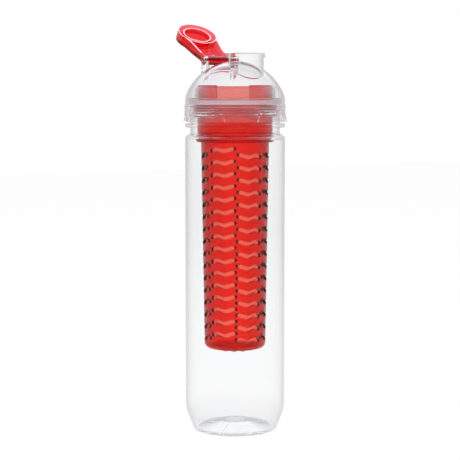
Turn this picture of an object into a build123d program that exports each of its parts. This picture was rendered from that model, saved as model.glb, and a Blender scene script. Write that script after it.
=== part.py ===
from build123d import *
import math
import os

# Fruit infuser water bottle, in millimetres, +Z up.
# The origin is the middle of the base. The spout is toward -Y and the flip cap's hinge is
# toward +Y, with its pins along X. The cap is modelled standing open, as it is photographed.

# Bottle body
body_radius = 35.1
body_height = 208.0
body_wall = 1.6
floor_wall = 2.2
heel_height = 15.0
heel_round = 26.0
heel_taper_deg = 21.5
foot_width = 3.2
foot_round = 0.8
push_up_height = 4.5
push_up_crown = 8.0
push_up_round = 9.0
shoulder_step = 3.6
shoulder_rise = 2.4
shoulder_round = 2.5
neck_round = 1.0
neck_wall = 1.6
collar_ring_lift = 4.2
collar_ring_thickness = 2.8
collar_ring_step = 3.5
neck_finish = 13.4
edge_round = 0.45

# Screw thread shared by the neck and the lid ring
thread_pitch = 4.0
thread_height = 1.7
thread_root_width = 2.1
thread_crest_width = 0.9
thread_radial_gap = 0.6
thread_bury = 0.3
neck_thread_drop = 10.5
neck_thread_turns = 1.9
lid_thread_turns = 1.25

# Lid ring: the threaded skirt, the gasket seat and the sleeve that holds the infuser
skirt_gap = 1.4
skirt_clearance = 0.8
skirt_wall = 1.5
roof_thickness = 1.5
spigot_wall = 0.95
spigot_gap = 0.12
spigot_chamfer = 0.8
web_thickness = 1.5
sleeve_wall = 1.6
sleeve_lip = 2.3
sleeve_rise = 7.0
lug_count = 8
lug_width = 6.0
lug_height = 6.8
lug_reach = 1.6
lug_tip_width = 0.6

# Sealing ring under the web
gasket_thickness = 2.8
gasket_inner_gap = 0.3
gasket_outer_gap = 0.25
gasket_round = 0.5

# Lid dome with its spout and hinge ears
dome_ledge = 0.55
dome_wall = 2.0
dome_base_rise = 2.36
dome_rise = 27.7
dome_blend = 13.7
spout_offset = 14.8
spout_bore_radius = 10.9
spout_wall = 1.55
spout_stand = 5.3
lip_flare = 0.95
lip_height = 3.5
lip_round = 0.4
hinge_offset = 22.7
hinge_stand = 1.2
ear_radius = 2.7
ear_thickness = 2.8
bridge_thickness = 1.8
bridge_drop = 1.4

# Flip cap
open_angle_deg = 150.0
cap_seat_gap = 0.15
cap_plate = 2.6
cap_rim_gap = 0.3
cap_rim_wall = 0.8
cap_rim_depth = 4.9
cap_edge_round = 0.7
plug_gap = 0.45
plug_wall = 0.9
plug_depth = 3.9
arm_half_width = 10.1
arm_waist = 1.5
arm_corner_round = 6.0
arm_wall = 1.2
arm_plate = 2.6
arm_arch = 0.6
arm_slope_run = 22.0
arm_root_run = 3.2
arm_root_rise = 4.4
knuckle_radius = 2.0
ear_side_gap = 0.2
pin_radius = 1.25
pin_running_gap = 0.05
pin_end_gap = 0.2

# Infuser collar
plug_fit_gap = 0.3
collar_step = 3.1
collar_wall = 1.4
flange_drop = 0.3
flange_web = 1.4
flange_skirt = 8.4
flange_wall = 1.4
rim_rise = 12.9
rim_wall = 1.0
rim_round = 0.3
notch_half_deg = 25.0
notch_centre_deg = -123.0
notch_depth = 11.5
sleeve_fit_gap = 0.08
bead_height = 4.3
bead_step = 1.0
bead_round = 1.3
seat_thickness = 1.6
collar_length = 26.2

# Infuser basket
basket_fit_gap = 0.25
basket_rim_step = 0.9
basket_wall = 1.7
basket_length = 145.7
basket_taper = 2.4
basket_corner = 3.6
basket_rim_gap = 0.2
basket_rim_thickness = 1.6
slot_rows = 16
slot_pitch = 8.6
slot_first_drop = 4.9
slot_width = 2.8
slots_centre_deg = -118.5
slot_column_turns_deg = (-82.5, -27.2, 28.8, 82.5)
slot_column_is_low = (True, False, True, True)
wave_outer_reach = 5.6
wave_inner_reach = 8.2
wave_crest_reach = 3.8
wave_dip_reach = 2.6
wave_outer_drop = 0.6
wave_crest_rise = 1.0
wave_dip_drop = 1.0
wave_inner_rise = 0.9
wave_round = 3.0
seep_count = 12
seep_ring_radius = 12.0
seep_boss_radius = 1.6
seep_boss_height = 1.4
seep_hole_radius = 0.8

# One overrun for every cut
overrun = 2.0

# Bottle heights and radii that follow
shoulder_top = body_height + shoulder_rise
collar_ring_bottom = shoulder_top + collar_ring_lift
collar_ring_top = collar_ring_bottom + collar_ring_thickness
mouth_height = collar_ring_top + neck_finish
neck_radius = body_radius - shoulder_step
mouth_radius = neck_radius - neck_wall
collar_ring_radius = neck_radius + collar_ring_step
neck_crest_radius = neck_radius + thread_height

# Lid ring heights and radii that follow
skirt_bottom = collar_ring_top + skirt_gap
skirt_inner_radius = neck_crest_radius + skirt_clearance
skirt_radius = skirt_inner_radius + skirt_wall
lid_crest_radius = neck_radius + thread_radial_gap
dome_rim_radius = skirt_radius - dome_ledge
spigot_radius = dome_rim_radius - dome_wall - spigot_gap
gasket_seat_radius = spigot_radius - spigot_wall
gasket_top = mouth_height + gasket_thickness
web_top = gasket_top + web_thickness
plug_radius = mouth_radius - plug_fit_gap
collar_radius = plug_radius - collar_step
sleeve_inner_radius = collar_radius + sleeve_fit_gap
sleeve_radius = sleeve_inner_radius + sleeve_wall

# Dome heights that follow
dome_base = mouth_height + dome_base_rise
dome_apex = dome_base + dome_rise
spout_radius = spout_bore_radius + spout_wall
lip_radius = spout_radius + lip_flare
spout_top = dome_apex + spout_stand
hinge_height = dome_apex + hinge_stand
pin_hole_radius = pin_radius + pin_running_gap
ear_inner = arm_half_width + ear_side_gap
ear_outer = ear_inner + ear_thickness

# Infuser heights and radii that follow
flange_top = mouth_height - flange_drop
rim_top = mouth_height + rim_rise
collar_bottom = flange_top - collar_length
seat_top = collar_bottom + seat_thickness
collar_inner_radius = collar_radius - collar_wall
basket_rim_radius = collar_inner_radius - basket_rim_gap
basket_bottom = collar_bottom - basket_length
basket_radius = basket_rim_radius - basket_rim_step
seat_hole_radius = basket_radius + basket_fit_gap

hinge_axis = Axis((0, hinge_offset, hinge_height), (1, 0, 0))


def turned(corners):
    """Turn a closed outline of (radius, height, corner round) about Z."""
    points = [(radius, height) for radius, height, _ in corners]
    rounds = [corner for _, _, corner in corners]
    outline = FilletPolyline(*points, radius=rounds, close=True)
    return revolve(make_face(Plane.XZ * outline), Axis.Z)


def tube(outer, inner, low, high, centre=(0, 0)):
    """A plain ring between two heights."""
    place = Pos(centre[0], centre[1], low)
    bottom = (Align.CENTER, Align.CENTER, Align.MIN)
    ring = Cylinder(outer, high - low, align=bottom) - Cylinder(inner, high - low, align=bottom)
    return place * ring


def post(radius, low, high, centre=(0, 0)):
    """A solid round post between two heights."""
    bottom = (Align.CENTER, Align.CENTER, Align.MIN)
    return Pos(centre[0], centre[1], low) * Cylinder(radius, high - low, align=bottom)


def along_x(outline, half_width):
    """Extrude a YZ outline both ways along X."""
    return extrude(Plane.YZ * outline, half_width, both=True)


def thread_ridge(root, crest, start, turns):
    """One right-handed ridge, its root buried in the wall that carries it."""
    inward = 1 if crest > root else -1
    buried = root - inward * thread_bury
    half_root = thread_root_width / 2
    half_crest = thread_crest_width / 2
    section = Polyline(
        (buried, start - half_root),
        (crest, start - half_crest),
        (crest, start + half_crest),
        (buried, start + half_root),
        close=True,
    )
    path = Helix(thread_pitch, thread_pitch * turns, root, center=(0, 0, start))
    return sweep(make_face(Plane.XZ * section), path=path, is_frenet=True)


def bottle_body():
    taper = math.radians(heel_taper_deg)
    slope = math.atan2(shoulder_rise, shoulder_step)
    drop = body_wall * (1 / math.cos(slope) - math.tan(slope))
    side = body_radius - body_wall
    foot_radius = body_radius - heel_height * math.tan(taper)
    foot_inner = foot_radius - foot_width
    inner_heel = heel_height + body_wall * math.tan(taper / 2)
    inner_foot = side - (inner_heel - floor_wall) * math.tan(taper)
    shell = turned(
        [
            (0, push_up_height, 0),
            (push_up_crown, push_up_height, push_up_round),
            (foot_inner, 0, foot_round),
            (foot_radius, 0, foot_round),
            (body_radius, heel_height, heel_round),
            (body_radius, body_height, shoulder_round),
            (neck_radius, shoulder_top, neck_round),
            (neck_radius, collar_ring_bottom, 0),
            (collar_ring_radius, collar_ring_bottom, edge_round),
            (collar_ring_radius, collar_ring_top, edge_round),
            (neck_radius, collar_ring_top, 0),
            (neck_radius, mouth_height, edge_round),
            (mouth_radius, mouth_height, edge_round),
            (mouth_radius, shoulder_top - drop, neck_round),
            (side, body_height - drop, shoulder_round - body_wall / 2),
            (side, inner_heel, heel_round - body_wall),
            (inner_foot, floor_wall, foot_round),
            (foot_inner, floor_wall, foot_round),
            (push_up_crown, push_up_height + floor_wall, push_up_round),
            (0, push_up_height + floor_wall, 0),
        ]
    )
    ridge = thread_ridge(
        neck_radius, neck_crest_radius, mouth_height - neck_thread_drop, neck_thread_turns
    )
    return shell + ridge


def lid_gasket():
    return turned(
        [
            (sleeve_radius + gasket_inner_gap, mouth_height, gasket_round),
            (gasket_seat_radius - gasket_outer_gap, mouth_height, gasket_round),
            (gasket_seat_radius - gasket_outer_gap, gasket_top, 0),
            (sleeve_radius + gasket_inner_gap, gasket_top, 0),
        ]
    )


def grip_lug():
    """A wedge that is widest and stands out furthest at the skirt's lower edge."""
    low = skirt_bottom
    high = skirt_bottom + lug_height
    buried = skirt_radius - thread_bury
    reach = skirt_radius + lug_reach
    side = Polyline((buried, low), (reach, low), (skirt_radius, high), (buried, high), close=True)
    front = Polyline(
        (-lug_width / 2, low),
        (lug_width / 2, low),
        (lug_tip_width / 2, high),
        (-lug_tip_width / 2, high),
        close=True,
    )
    wedge = extrude(make_face(Plane.XZ * side), lug_width, both=True)
    return wedge & extrude(make_face(Plane.YZ * front), reach + overrun)


def lid_ring():
    roof = mouth_height - roof_thickness
    ring = turned(
        [
            (skirt_inner_radius, skirt_bottom, 0),
            (skirt_radius, skirt_bottom, edge_round),
            (skirt_radius, mouth_height, edge_round),
            (spigot_radius, mouth_height, 0),
            (spigot_radius, web_top - spigot_chamfer, 0),
            (spigot_radius - spigot_chamfer, web_top, 0),
            (sleeve_radius, web_top, 0),
            (sleeve_radius, web_top + sleeve_rise, edge_round),
            (sleeve_inner_radius, web_top + sleeve_rise, edge_round),
            (sleeve_inner_radius, gasket_top - sleeve_lip, edge_round),
            (sleeve_radius, gasket_top - sleeve_lip, edge_round),
            (sleeve_radius, gasket_top, 0),
            (gasket_seat_radius, gasket_top, 0),
            (gasket_seat_radius, roof, 0),
            (skirt_inner_radius, roof, edge_round),
        ]
    )
    start = mouth_height - neck_thread_drop + thread_pitch / 2
    ring += thread_ridge(skirt_inner_radius, lid_crest_radius, start, lid_thread_turns)
    for turn in range(lug_count):
        ring += Rot(0, 0, turn * 360 / lug_count) * grip_lug()
    return ring


def dome_solid(inset):
    """The space inside the dome's skin, taken in by a wall. Its side runs into its crown by an arc."""
    rim = dome_rim_radius - inset
    blend = dome_blend - inset
    rise = dome_rise - inset
    crown = ((rim - blend) ** 2 + rise**2 - blend**2) / (2 * (rise - blend))
    crown_height = dome_base + rise - crown
    lean = math.atan2(dome_base - crown_height, rim - blend)
    meet = (crown * math.cos(lean), crown_height + crown * math.sin(lean))
    half = lean / 2
    on_blend = (rim - blend + blend * math.cos(half), dome_base + blend * math.sin(half))
    up = (lean + math.pi / 2) / 2
    on_crown = (crown * math.cos(up), crown_height + crown * math.sin(up))
    outline = [
        Line((0, mouth_height), (rim, mouth_height)),
        Line((rim, mouth_height), (rim, dome_base)),
        ThreePointArc((rim, dome_base), on_blend, meet),
        ThreePointArc(meet, on_crown, (0, dome_base + rise)),
        Line((0, dome_base + rise), (0, mouth_height)),
    ]
    return revolve(make_face([Plane.XZ * edge for edge in outline]), Axis.Z)


def hinge_ear(side):
    """A round-topped post that carries one hinge pin."""
    foot = hinge_height - dome_rise
    disc = Pos(hinge_offset, hinge_height) * Circle(ear_radius)
    shank = Pos(hinge_offset, (hinge_height + foot) / 2) * Rectangle(
        2 * ear_radius, hinge_height - foot
    )
    hole = Pos(hinge_offset, hinge_height) * Circle(pin_hole_radius)
    ear = extrude(Plane.YZ * (disc + shank - hole), ear_thickness)
    start = ear_inner if side > 0 else -ear_outer
    return Pos(start, 0, 0) * ear


def lid_dome():
    hollow = dome_solid(dome_wall)
    centre = (0, -spout_offset)
    shell = dome_solid(0)
    shell += post(spout_radius, dome_base, spout_top, centre)
    lip = post(lip_radius, spout_top - lip_height, spout_top, centre)
    shell += fillet(lip.edges().filter_by(GeomType.CIRCLE), lip_round)
    for side in (1, -1):
        shell += hinge_ear(side)
    bridge_back = hinge_offset - ear_radius - ear_side_gap
    bridge = Pos(0, bridge_back - bridge_thickness / 2, (dome_base + hinge_height - bridge_drop) / 2)
    shell += bridge * Box(
        2 * ear_inner + ear_side_gap, bridge_thickness, hinge_height - bridge_drop - dome_base
    )
    shell -= hollow
    shell -= post(spout_bore_radius, dome_base, spout_top + overrun, centre)
    return shell


def cap_plan(half_width, ring_radius, end):
    """The cap seen from above: a disc over the spout and an arm that narrows to the hinge."""
    waist = (ring_radius + half_width) / 2 - arm_waist
    middle = (end - spout_offset) / 2
    sides = []
    for side in (1, -1):
        sides.append(
            ThreePointArc(
                (side * ring_radius, -spout_offset),
                (side * waist, middle),
                (side * half_width, end),
            )
        )
    arm = make_face(
        [
            Line((-ring_radius, -spout_offset), (ring_radius, -spout_offset)),
            sides[0],
            Line((half_width, end), (-half_width, end)),
            sides[1],
        ]
    )
    plan = arm + Pos(0, -spout_offset) * Circle(ring_radius)
    inside_corners = plan.vertices().filter_by(
        lambda v: -spout_offset < v.Y < end - knuckle_radius
    )
    return fillet(inside_corners, arm_corner_round)


def flip_cap():
    seat = spout_top + cap_seat_gap
    top = seat + cap_plate
    rim_bottom = seat - cap_rim_depth
    rim_inner = lip_radius + cap_rim_gap
    rim_radius = rim_inner + cap_rim_wall
    tip = -spout_offset - rim_radius - overrun
    near = -spout_offset + rim_radius
    slope_start = hinge_offset - arm_slope_run
    root_top = hinge_height + arm_root_rise
    root = hinge_offset - arm_root_run
    side_outline = make_face(
        [
            Line((tip, rim_bottom), (near, rim_bottom)),
            ThreePointArc(
                (near, rim_bottom), ((near + root) / 2, rim_bottom + arm_arch), (root, rim_bottom)
            ),
            Line((root, rim_bottom), (hinge_offset, hinge_height)),
            Line((hinge_offset, hinge_height), (hinge_offset, root_top)),
            Line((hinge_offset, root_top), (slope_start, top)),
            Line((slope_start, top), (tip, top)),
            Line((tip, top), (tip, rim_bottom)),
        ]
    )
    plan = cap_plan(arm_half_width, rim_radius, hinge_offset)
    blank = Pos(0, 0, hinge_height - knuckle_radius) * extrude(plan, spout_stand + cap_rim_depth)
    cap = blank & along_x(side_outline, rim_radius + overrun)
    cap = fillet(
        cap.edges().filter_by(lambda e: (e @ 0).Z > top - edge_round and (e @ 1).Z > top - edge_round),
        cap_edge_round,
    )

    # The arm is a trough and the disc a cup, both open to the underside.
    fall = (top - root_top) / arm_slope_run
    trough_end = root - arm_wall
    trough_top = top - arm_plate
    trough_side = Polyline(
        (near, rim_bottom - overrun),
        (trough_end, rim_bottom - overrun),
        (trough_end, trough_top - fall * (trough_end - slope_start)),
        (slope_start, trough_top),
        (near - rim_radius, trough_top),
        (near - rim_radius, rim_bottom - overrun),
        close=True,
    )
    trough_plan = cap_plan(arm_half_width - arm_wall, rim_radius - arm_wall, hinge_offset)
    trough_plan -= Pos(0, -spout_offset) * Circle(rim_radius)
    trough = Pos(0, 0, rim_bottom - overrun) * extrude(trough_plan, cap_rim_depth + overrun)
    trough = trough & along_x(make_face(trough_side), rim_radius)
    cap -= trough
    cup = post(rim_inner, rim_bottom - overrun, seat, (0, -spout_offset))
    cap -= cup

    plug_radius_out = spout_bore_radius - plug_gap
    plug = tube(
        plug_radius_out, plug_radius_out - plug_wall, seat - plug_depth, seat, (0, -spout_offset)
    )
    cap += plug

    cap += Pos(0, hinge_offset, hinge_height) * Rot(0, 90, 0) * Cylinder(
        knuckle_radius, 2 * arm_half_width
    )
    cap += Pos(0, hinge_offset, hinge_height) * Rot(0, 90, 0) * Cylinder(
        pin_radius, 2 * (ear_outer - pin_end_gap)
    )
    return cap.rotate(hinge_axis, -open_angle_deg)


def infuser_collar():
    skirt_low = flange_top - flange_skirt
    collar = turned(
        [
            (seat_hole_radius, collar_bottom, 0),
            (collar_radius + bead_step, collar_bottom, bead_round),
            (collar_radius + bead_step, collar_bottom + bead_height, edge_round),
            (collar_radius, collar_bottom + bead_height, 0),
            (collar_radius, flange_top - flange_web, 0),
            (plug_radius - flange_wall, flange_top - flange_web, 0),
            (plug_radius - flange_wall, skirt_low, edge_round),
            (plug_radius, skirt_low, edge_round),
            (plug_radius, flange_top, edge_round),
            (collar_radius, flange_top, 0),
            (collar_radius, rim_top, rim_round),
            (collar_radius - rim_wall, rim_top, rim_round),
            (collar_radius - rim_wall, flange_top, 0),
            (collar_inner_radius, flange_top - flange_web, 0),
            (collar_inner_radius, seat_top, 0),
            (seat_hole_radius, seat_top, 0),
        ]
    )
    wedge_reach = collar_radius + overrun
    half_chord = wedge_reach * math.tan(math.radians(notch_half_deg))
    wedge = Polyline((0, 0), (wedge_reach, -half_chord), (wedge_reach, half_chord), close=True)
    notch = Pos(0, 0, rim_top - notch_depth) * extrude(make_face(wedge), notch_depth + overrun)
    return collar - Rot(0, 0, notch_centre_deg) * notch


def wave_cutter():
    """One wavy slot, drawn toward +X through the basket's wall."""
    spine = FilletPolyline(
        (-wave_outer_reach, -wave_outer_drop),
        (-wave_crest_reach, wave_crest_rise),
        (wave_dip_reach, -wave_dip_drop),
        (wave_inner_reach, wave_inner_rise),
        radius=wave_round,
    )
    face = make_face(offset(spine, slot_width / 2, side=Side.BOTH))
    reach = basket_radius + overrun
    start = (basket_radius - basket_taper - basket_wall) / 2
    return Pos(start, 0, 0) * extrude(Plane.YZ * face, reach - start)


def infuser_basket():
    low_radius = basket_radius - basket_taper
    rim_top_height = seat_top + basket_rim_thickness
    basket = turned(
        [
            (0, basket_bottom, 0),
            (low_radius, basket_bottom, basket_corner),
            (basket_radius, collar_bottom, 0),
            (basket_radius, seat_top, 0),
            (basket_rim_radius, seat_top, 0),
            (basket_rim_radius, rim_top_height, edge_round),
            (basket_radius - basket_wall, rim_top_height, edge_round),
            (basket_radius - basket_wall, collar_bottom, 0),
            (low_radius - basket_wall, basket_bottom + basket_wall, basket_corner - basket_wall),
            (0, basket_bottom + basket_wall, 0),
        ]
    )
    # The slots are in the front and the sides, in mirrored columns, and the back is plain.
    wave = wave_cutter()
    mirrored = mirror(wave, Plane.XZ)
    for turn, is_low in zip(slot_column_turns_deg, slot_column_is_low):
        shape = Rot(0, 0, slots_centre_deg + turn) * (wave if turn < 0 else mirrored)
        first = collar_bottom - slot_first_drop
        if is_low:
            first -= slot_pitch / 2
        basket -= [Pos(0, 0, first - row * slot_pitch) * shape for row in range(slot_rows)]

    for index in range(seep_count):
        place = Rot(0, 0, notch_centre_deg + index * 360 / seep_count)
        boss = post(
            seep_boss_radius,
            basket_bottom - seep_boss_height,
            basket_bottom + basket_wall,
            (seep_ring_radius, 0),
        )
        hole = post(
            seep_hole_radius,
            basket_bottom - seep_boss_height - overrun,
            basket_bottom + basket_wall + overrun,
            (seep_ring_radius, 0),
        )
        basket = basket + place * boss - place * hole
    return basket


pieces = {
    "bottle_body": bottle_body,
    "lid_gasket": lid_gasket,
    "lid_ring": lid_ring,
    "lid_dome": lid_dome,
    "flip_cap": flip_cap,
    "infuser_collar": infuser_collar,
    "infuser_basket": infuser_basket,
}

os.makedirs("parts", exist_ok=True)
for name, build in pieces.items():
    piece = build()
    export_step(piece, f"parts/{name}.step")
    print(name, len(piece.solids()), round(piece.volume, 1))
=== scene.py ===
import math

import bmesh
import bpy
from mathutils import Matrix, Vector

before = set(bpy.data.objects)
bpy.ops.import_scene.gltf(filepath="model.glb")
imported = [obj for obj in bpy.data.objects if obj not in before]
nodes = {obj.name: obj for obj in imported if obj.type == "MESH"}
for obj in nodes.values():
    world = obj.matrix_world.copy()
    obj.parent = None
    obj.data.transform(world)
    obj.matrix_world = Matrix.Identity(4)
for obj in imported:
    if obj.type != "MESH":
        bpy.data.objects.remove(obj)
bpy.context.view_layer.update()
print("frame loaded:", ", ".join(sorted(nodes)))


def newMaterial(name):
    material = bpy.data.materials.new(name)
    material.use_nodes = True
    tree = material.node_tree
    tree.nodes.clear()
    output = tree.nodes.new("ShaderNodeOutputMaterial")
    return material, tree, output


# An input that is given a socket is linked, and any other is set as a plain value
def addNode(tree, kind, inputs=None, **settings):
    node = tree.nodes.new(kind)
    for name, value in settings.items():
        setattr(node, name, value)
    for name, value in (inputs or {}).items():
        if isinstance(value, bpy.types.NodeSocket):
            tree.links.new(value, node.inputs[name])
        else:
            node.inputs[name].default_value = value
    return node


def mathNode(tree, operation, first, second=0.0):
    return addNode(tree, "ShaderNodeMath", {0: first, 1: second}, operation=operation).outputs[0]


def ramp(tree, value, fromMin, fromMax, toMin, toMax, kind="LINEAR"):
    node = addNode(
        tree,
        "ShaderNodeMapRange",
        {
            "Value": value,
            "From Min": fromMin,
            "From Max": fromMax,
            "To Min": toMin,
            "To Max": toMax,
        },
        interpolation_type=kind,
    )
    return node.outputs["Result"]


# The second value where the switch is 1, the first where it is 0
def choose(tree, switch, first, second):
    return ramp(tree, switch, 0.0, 1.0, first, second)


def allOf(tree, first, *others):
    for other in others:
        first = mathNode(tree, "MULTIPLY", first, other)
    return first


def noise(tree, place, scale, detail, roughness):
    node = addNode(
        tree,
        "ShaderNodeTexNoise",
        {"Vector": place, "Scale": scale, "Detail": detail, "Roughness": roughness},
    )
    return node.outputs["Fac"]


def mixColour(tree, factor, first, second):
    node = addNode(
        tree, "ShaderNodeMix", {"Factor": factor, "A": first, "B": second}, data_type="RGBA"
    )
    return node.outputs["Result"]


def dot(tree, first, second):
    node = addNode(tree, "ShaderNodeVectorMath", {0: first, 1: second}, operation="DOT_PRODUCT")
    return node.outputs["Value"]


def objectPlace(tree):
    return addNode(tree, "ShaderNodeTexCoord").outputs["Object"]


# The true normal in the piece's own axes, so masks stay put when the piece turns
def objectFacing(tree):
    facing = addNode(tree, "ShaderNodeNewGeometry").outputs["True Normal"]
    turned = addNode(
        tree,
        "ShaderNodeVectorTransform",
        {"Vector": facing},
        vector_type="NORMAL",
        convert_from="WORLD",
        convert_to="OBJECT",
    )
    return turned.outputs[0]


# Fine grain in the gloss and a slow flow in the skin, shared by every moulding
moulding = {
    "grainDetail": 3.0,
    "grainSharpness": 0.6,
    "grainLow": 0.3,
    "grainHigh": 0.7,
    "smoothest": 0.6,
    "roughest": 1.4,
    "flowDetail": 2.0,
    "flowSharpness": 0.4,
}


# Height that moulding leaves: a slow flow, and a parting line where the two halves met
def mouldHeight(tree, place, look):
    flow = noise(
        tree, place, look["flowScale"], moulding["flowDetail"], moulding["flowSharpness"]
    )
    height = mathNode(tree, "MULTIPLY", flow, look["flowHeight"])
    if "partingAngle" not in look:
        return height
    axes = addNode(tree, "ShaderNodeSeparateXYZ", {0: place})
    across = mathNode(
        tree,
        "SUBTRACT",
        mathNode(tree, "MULTIPLY", axes.outputs["X"], math.sin(look["partingAngle"])),
        mathNode(tree, "MULTIPLY", axes.outputs["Y"], math.cos(look["partingAngle"])),
    )
    away = mathNode(tree, "ABSOLUTE", across)
    line = ramp(tree, away, 0.0, look["partingWidth"], look["partingHeight"], 0.0, "SMOOTHSTEP")
    return mathNode(tree, "ADD", height, line)


# The cap's open side at rest, and how far its painted highlight on the end faces reaches
capEnds = {
    "rimMiddle": (0.0, 0.05485, 0.28137),
    "opens": (0.0, -0.5, 0.866),
    "depth": 0.0013,
    "beyond": 0.031,
    "facing": 0.8,
}


# 1 on the narrow end faces of the cap's rim, plug and arm, which are painted pale as a painted
# highlight
def paintedCapHighlight(tree, place):
    depth = addNode(
        tree, "ShaderNodeVectorMath", {0: place, 1: capEnds["rimMiddle"]}, operation="SUBTRACT"
    )
    along = dot(tree, depth.outputs[0], capEnds["opens"])
    outer = mathNode(tree, "GREATER_THAN", along, -capEnds["depth"])
    facing = dot(tree, objectFacing(tree), capEnds["opens"])
    square = mathNode(tree, "GREATER_THAN", facing, capEnds["facing"])
    beyond = mathNode(tree, "GREATER_THAN", dot(tree, place, (0, 1, 0)), capEnds["beyond"])
    inside = addNode(tree, "ShaderNodeNewGeometry").outputs["Backfacing"]
    outside = mathNode(tree, "SUBTRACT", 1.0, inside)
    return allOf(tree, beyond, outside, outer, square)


# Where the basket's slots are. Each column's outer tip is the one nearer the basket's back
slots = {
    "pitch": 0.0086,
    "rows": 16,
    "from": 0.066,
    "to": 0.2044,
    "wallFacing": 0.55,
    "skinFacing": 0.85,
    "shadeCore": 0.7,
    "shadeRim": 1.1,
}
slotColumns = [
    {"turn": math.radians(-201.0), "first": 0.1951, "outer": -1},
    {"turn": math.radians(-145.7), "first": 0.1994, "outer": -1},
    {"turn": math.radians(-89.7), "first": 0.1951, "outer": 1},
    {"turn": math.radians(-36.0), "first": 0.1951, "outer": 1},
]
# Where the painted shade sits round each slot tip, and its size
slotTips = [
    {"reach": 0.0072, "lift": -0.0006, "wide": 0.0011, "tall": 0.0017},
    {"reach": -0.0096, "lift": 0.001, "wide": 0.0006, "tall": 0.0014},
]


def squared(tree, value, size):
    share = mathNode(tree, "DIVIDE", value, size)
    return mathNode(tree, "MULTIPLY", share, share)


# Painted shade on the skin round one tip of every slot in a column
def slotTip(tree, place, height, column, tip):
    turn = column["turn"]
    halfPitch = slots["pitch"] / 2
    lowest = column["first"] + halfPitch - slots["rows"] * slots["pitch"]
    along = dot(tree, place, (-math.sin(turn), math.cos(turn), 0))
    outward = dot(tree, place, (math.cos(turn), math.sin(turn), 0))
    fromLowest = mathNode(tree, "SUBTRACT", height, lowest)
    inRow = mathNode(tree, "FLOORED_MODULO", fromLowest, slots["pitch"])
    up = mathNode(tree, "SUBTRACT", inRow, halfPitch + tip["lift"])
    out = mathNode(tree, "SUBTRACT", along, column["outer"] * tip["reach"])
    away = mathNode(tree, "ADD", squared(tree, up, tip["tall"]), squared(tree, out, tip["wide"]))
    return allOf(
        tree,
        ramp(tree, away, slots["shadeCore"], slots["shadeRim"], 1.0, 0.0),
        mathNode(tree, "GREATER_THAN", outward, 0.0),
        mathNode(tree, "GREATER_THAN", fromLowest, 0.0),
        mathNode(tree, "LESS_THAN", height, column["first"] + halfPitch),
    )


# 1 on the walls that the slots cut through the tube and on the shade at their tips, both a
# painted shade, near black and not clear
def paintedSlotShade(tree, place):
    axes = addNode(tree, "ShaderNodeSeparateXYZ", {0: place})
    height = axes.outputs["Z"]
    flat = addNode(tree, "ShaderNodeCombineXYZ", {"X": axes.outputs["X"], "Y": axes.outputs["Y"]})
    outward = addNode(tree, "ShaderNodeVectorMath", {0: flat.outputs[0]}, operation="NORMALIZE")
    steep = mathNode(tree, "ABSOLUTE", dot(tree, outward.outputs[0], objectFacing(tree)))
    cut = allOf(
        tree,
        ramp(tree, steep, slots["wallFacing"], slots["skinFacing"], 1.0, 0.0),
        mathNode(tree, "GREATER_THAN", height, slots["from"]),
        mathNode(tree, "LESS_THAN", height, slots["to"]),
    )
    for column in slotColumns:
        for tip in slotTips:
            cut = mathNode(tree, "MAXIMUM", cut, slotTip(tree, place, height, column, tip))
    return cut


# Clear and tinted mouldings. Shadow rays, and light mirrored more than mostMirrors times,
# pass straight through with a thin tint
def mouldedPlastic(name, look):
    material, tree, output = newMaterial(name)
    place = objectPlace(tree)
    grain = noise(
        tree, place, look["grainScale"], moulding["grainDetail"], moulding["grainSharpness"]
    )
    roughness = ramp(
        tree,
        grain,
        moulding["grainLow"],
        moulding["grainHigh"],
        look["roughness"] * moulding["smoothest"],
        look["roughness"] * moulding["roughest"],
    )
    bump = addNode(
        tree,
        "ShaderNodeBump",
        {"Height": mouldHeight(tree, place, look), "Strength": 1.0, "Distance": 1.0},
    )
    tint = (*look["tint"], 1)
    clearness = look["clearness"]
    # Painted shade: the tint darkens toward the outline as seen, standing in for the longer path
    # through the wall
    if "outlineShadeTint" in look:
        edge = addNode(tree, "ShaderNodeLayerWeight", {"Blend": 0.5}).outputs["Facing"]
        tint = mixColour(tree, edge, tint, (*look["outlineShadeTint"], 1))
    # Painted light: a mask lays its own tint and clearness over the plastic, a painted shade on
    # the basket's slots and a painted highlight on the cap's end faces
    if "mask" in look:
        marked = look["mask"](tree, place)
        tint = mixColour(tree, marked, tint, (*look["maskTint"], 1))
        clearness = choose(tree, marked, clearness, look["maskClearness"])
    body = addNode(
        tree,
        "ShaderNodeBsdfPrincipled",
        {
            "Base Color": tint,
            "Roughness": roughness,
            "IOR": look["ior"],
            "Transmission Weight": clearness,
            "Specular Tint": (*look["mirror"], 1),
            "Normal": bump.outputs["Normal"],
        },
    )
    thin = addNode(tree, "ShaderNodeBsdfTransparent", {"Color": (*look["shadowTint"], 1)})
    rays = addNode(tree, "ShaderNodeLightPath")
    trapped = mathNode(tree, "GREATER_THAN", rays.outputs["Glossy Depth"], look["mostMirrors"])
    passes = mathNode(tree, "MAXIMUM", rays.outputs["Is Shadow Ray"], trapped)
    mix = addNode(
        tree, "ShaderNodeMixShader", {0: passes, 1: body.outputs[0], 2: thin.outputs[0]}
    )
    tree.links.new(mix.outputs[0], output.inputs["Surface"])
    if "depthColour" in look:
        depth = addNode(
            tree,
            "ShaderNodeVolumeAbsorption",
            {"Color": (*look["depthColour"], 1), "Density": look["depthDensity"]},
        )
        tree.links.new(depth.outputs[0], output.inputs["Volume"])
    return material


def wear(node, name, look):
    owner = nodes[node]
    owner.data.materials.clear()
    owner.data.materials.append(mouldedPlastic(name, look))


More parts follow.
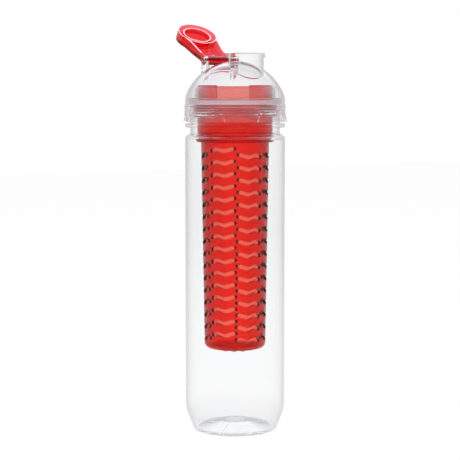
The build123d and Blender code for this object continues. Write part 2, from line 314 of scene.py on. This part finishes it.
# Clear mouldings, with heights and widths in metres
clearLook = {
    "tint": (0.96, 0.962, 0.964),
    "shadowTint": (0.97, 0.97, 0.97),
    "mirror": (0.35, 0.35, 0.35),
    "mostMirrors": 3.5,
    "roughness": 0.015,
    "ior": 1.49,
    "clearness": 1.0,
    "flowScale": 60.0,
    "flowHeight": 0.00003,
    "grainScale": 400.0,
}
bottleLook = dict(
    clearLook,
    tint=(0.937, 0.939, 0.943),
    mirror=(0.15, 0.15, 0.15),
    partingAngle=math.radians(-141.7),
    partingWidth=0.0003,
    partingHeight=0.00004,
)
# The lid's dome and ring are painted darker toward their outlines as seen, a painted shade
domeLook = dict(clearLook, outlineShadeTint=(0.76, 0.75, 0.76))
ringLook = dict(domeLook, clearness=0.98)
gasketLook = dict(clearLook, tint=(0.66, 0.54, 0.56), roughness=0.4, clearness=0.5)
wear("bottle_body", "clear bottle", bottleLook)
wear("lid_ring", "clear lid ring", ringLook)
wear("lid_dome", "clear lid dome", domeLook)
wear("lid_gasket", "silicone gasket", gasketLook)
print("clear mouldings dressed")

# Red mouldings, painted darker toward their outlines as seen, a painted shade
collarLook = {
    "tint": (0.93, 0.34, 0.29),
    "outlineShadeTint": (0.72, 0.2, 0.18),
    "depthColour": (0.945, 0.152, 0.0),
    "depthDensity": 877.0,
    "shadowTint": (0.95, 0.6, 0.55),
    "mirror": (0.15, 0.15, 0.15),
    "mostMirrors": 5.5,
    "roughness": 0.03,
    "ior": 1.49,
    "clearness": 1.0,
    "flowScale": 90.0,
    "flowHeight": 0.00002,
    "grainScale": 500.0,
}
basketLook = dict(
    collarLook,
    tint=(0.96, 0.36, 0.3),
    outlineShadeTint=(0.53, 0.27, 0.24),
    depthColour=(0.9734, 0.157, 0.0),
    depthDensity=695.0,
    # Painted shade: the slot walls and the skin round the slot tips turn near black and not clear
    mask=paintedSlotShade,
    maskTint=(0.02, 0.002, 0.002),
    maskClearness=0.0,
)
capLook = dict(
    collarLook,
    tint=(0.93, 0.25, 0.27),
    outlineShadeTint=(0.9, 0.25, 0.28),
    mirror=(0.3, 0.3, 0.3),
    depthColour=(0.945, 0.05, 0.13),
    depthDensity=560.0,
    # Painted highlight: the cap's end faces turn pale and nearly opaque
    mask=paintedCapHighlight,
    maskTint=(0.97, 0.62, 0.66),
    maskClearness=0.1,
)
wear("flip_cap", "red cap", capLook)
wear("infuser_collar", "red collar", collarLook)
wear("infuser_basket", "red basket", basketLook)
print("red mouldings dressed")

# Floor and room. Levels are shares of white, and From and To are metres from the bottle's
# middle, except at the top of the room, where they are heights on a unit sphere
studio = {
    "floorSide": 6.0,
    "floorColour": (0.9, 0.9, 0.9, 1),
    "floorGlow": 0.9,
    "white": (1, 1, 1, 1),
    "diffuseLevel": 0.9,
    "throughPlastic": 1.02,
    "mirroredOnce": 0.7,
    "mirroredLater": 0.6,
    # Through the plastics the floor's glow is a painted pool of light near the bottle and a
    # painted shadow right under it
    "seenFloor": 1.08,
    "seenFrom": 0.15,
    "seenTo": 1.5,
    "underShade": 0.9,
    "underFrom": 0.03,
    "underTo": 0.14,
    # Once mirrored, the floor's glow is a painted pool of light near the bottle
    "mirroredFloor": 1.12,
    "mirroredFrom": 0.25,
    "mirroredTo": 1.2,
    "topFrom": 0.3,
    "topTo": 0.6,
    "topColour": (0.8, 0.88, 1.0, 1),
    "topStrength": 2.4,
}


# 1 for a ray that has been mirrored at least this many times
def mirrored(tree, rays, times):
    return mathNode(tree, "GREATER_THAN", rays.outputs["Glossy Depth"], times - 0.5)


# White to the camera, a little over white through the plastics, and dimmer once mirrored
def byReflections(tree, rays):
    straight = choose(tree, rays.outputs["Is Camera Ray"], studio["throughPlastic"], 1.0)
    first = choose(tree, mirrored(tree, rays, 1), straight, studio["mirroredOnce"])
    return choose(tree, mirrored(tree, rays, 2), first, studio["mirroredLater"])


def makeFloor():
    shape = bmesh.new()
    bmesh.ops.create_grid(shape, x_segments=1, y_segments=1, size=studio["floorSide"] / 2)
    mesh = bpy.data.meshes.new("floor")
    shape.to_mesh(mesh)
    shape.free()
    floor = bpy.data.objects.new("floor", mesh)
    bpy.context.scene.collection.objects.link(floor)
    material, tree, output = newMaterial("white floor")
    rays = addNode(tree, "ShaderNodeLightPath")
    middle = addNode(tree, "ShaderNodeVectorMath", {0: objectPlace(tree)}, operation="LENGTH")

    def fade(start, stop, level):
        away = middle.outputs["Value"]
        return ramp(tree, away, studio[start], studio[stop], studio[level], 1.0)

    # Painted light on the floor: a brighter pool near the bottle and a painted shadow under it,
    # hidden from the camera
    near = fade("mirroredFrom", "mirroredTo", "mirroredFloor")
    seen = fade("seenFrom", "seenTo", "seenFloor")
    under = fade("underFrom", "underTo", "underShade")
    through = choose(tree, rays.outputs["Is Camera Ray"], allOf(tree, seen, under), 1.0)
    lift = choose(tree, mirrored(tree, rays, 1), through, near)
    matte = addNode(tree, "ShaderNodeBsdfDiffuse", {"Color": studio["floorColour"]})
    glow = addNode(
        tree,
        "ShaderNodeEmission",
        {"Color": studio["white"], "Strength": allOf(tree, byReflections(tree, rays), lift)},
    )
    mix = addNode(
        tree,
        "ShaderNodeMixShader",
        {0: studio["floorGlow"], 1: matte.outputs[0], 2: glow.outputs[0]},
    )
    tree.links.new(mix.outputs[0], output.inputs["Surface"])
    mesh.materials.append(material)


# The room is brighter and cooler toward the ceiling in reflections only
def makeRoom():
    world = bpy.data.worlds.new("studio room")
    bpy.context.scene.world = world
    world.use_nodes = True
    tree = world.node_tree
    tree.nodes.clear()
    output = tree.nodes.new("ShaderNodeOutputWorld")
    rays = addNode(tree, "ShaderNodeLightPath")
    direction = addNode(tree, "ShaderNodeTexCoord").outputs["Generated"]
    axes = addNode(tree, "ShaderNodeSeparateXYZ", {0: direction})
    high = ramp(
        tree, axes.outputs["Z"], studio["topFrom"], studio["topTo"], 0.0, 1.0, "SMOOTHSTEP"
    )
    diffuse = rays.outputs["Is Diffuse Ray"]
    notDiffuse = mathNode(tree, "SUBTRACT", 1.0, diffuse)
    ceiling = allOf(tree, high, mirrored(tree, rays, 1), notDiffuse)
    level = choose(tree, diffuse, byReflections(tree, rays), studio["diffuseLevel"])
    boost = choose(tree, ceiling, 1.0, studio["topStrength"])
    room = addNode(
        tree,
        "ShaderNodeBackground",
        {
            "Color": mixColour(tree, ceiling, studio["white"], studio["topColour"]),
            "Strength": allOf(tree, level, boost),
        },
    )
    tree.links.new(room.outputs[0], output.inputs["Surface"])


# Two soft lamps, which light the matt surfaces and leave no square glints
lamps = [
    {"name": "left softbox", "place": (-1.0, -0.3, 1.6), "side": 0.6, "power": 8},
    {"name": "right softbox", "place": (0.6, -0.9, 1.7), "side": 0.5, "power": 6},
]
lampAim = Vector((0, 0, 0.2))


def makeLamp(lamp):
    data = bpy.data.lights.new(lamp["name"], "AREA")
    data.shape = "RECTANGLE"
    data.size = lamp["side"]
    data.size_y = lamp["side"]
    data.energy = lamp["power"]
    holder = bpy.data.objects.new(lamp["name"], data)
    bpy.context.scene.collection.objects.link(holder)
    holder.location = lamp["place"]
    towards = lampAim - Vector(lamp["place"])
    holder.rotation_euler = towards.to_track_quat("-Z", "Y").to_euler()
    holder.visible_glossy = False
    holder.visible_transmission = False


makeFloor()
makeRoom()
for lamp in lamps:
    makeLamp(lamp)
print("studio ready")

# Camera where the photographer stood
photo = {
    "distance": 1.1,
    "height": 0.245,
    "planAngle": math.radians(-120),
    "tiltDown": math.radians(5.35),
    "lens": 122.2,
    "sensor": 36,
    "aimLeft": 0.00354,
    "clipStart": 0.05,
    "clipEnd": 50,
}


def makeCamera():
    data = bpy.data.cameras.new("camera")
    data.lens = photo["lens"]
    data.sensor_width = photo["sensor"]
    data.clip_start = photo["clipStart"]
    data.clip_end = photo["clipEnd"]
    camera = bpy.data.objects.new("camera", data)
    bpy.context.scene.collection.objects.link(camera)
    bpy.context.scene.camera = camera
    out = Vector((math.cos(photo["planAngle"]), math.sin(photo["planAngle"]), 0))
    left = Vector((out.y, -out.x, 0))
    place = out * photo["distance"] + Vector((0, 0, photo["height"]))
    drop = photo["distance"] * math.tan(photo["tiltDown"])
    aim = Vector((0, 0, photo["height"] - drop)) + left * photo["aimLeft"]
    camera.location = place
    camera.rotation_euler = (aim - place).to_track_quat("-Z", "Y").to_euler()


makeCamera()

# Enough bounces for rays to find their way out through several clear walls
rayLimits = {
    "max_bounces": 64,
    "transmission_bounces": 64,
    "glossy_bounces": 64,
    "transparent_max_bounces": 24,
    "caustics_reflective": True,
    "caustics_refractive": True,
    "blur_glossy": 0.0,
}
scene = bpy.context.scene
scene.view_settings.view_transform = "Standard"
for setting, value in rayLimits.items():
    setattr(scene.cycles, setting, value)
print("camera set")
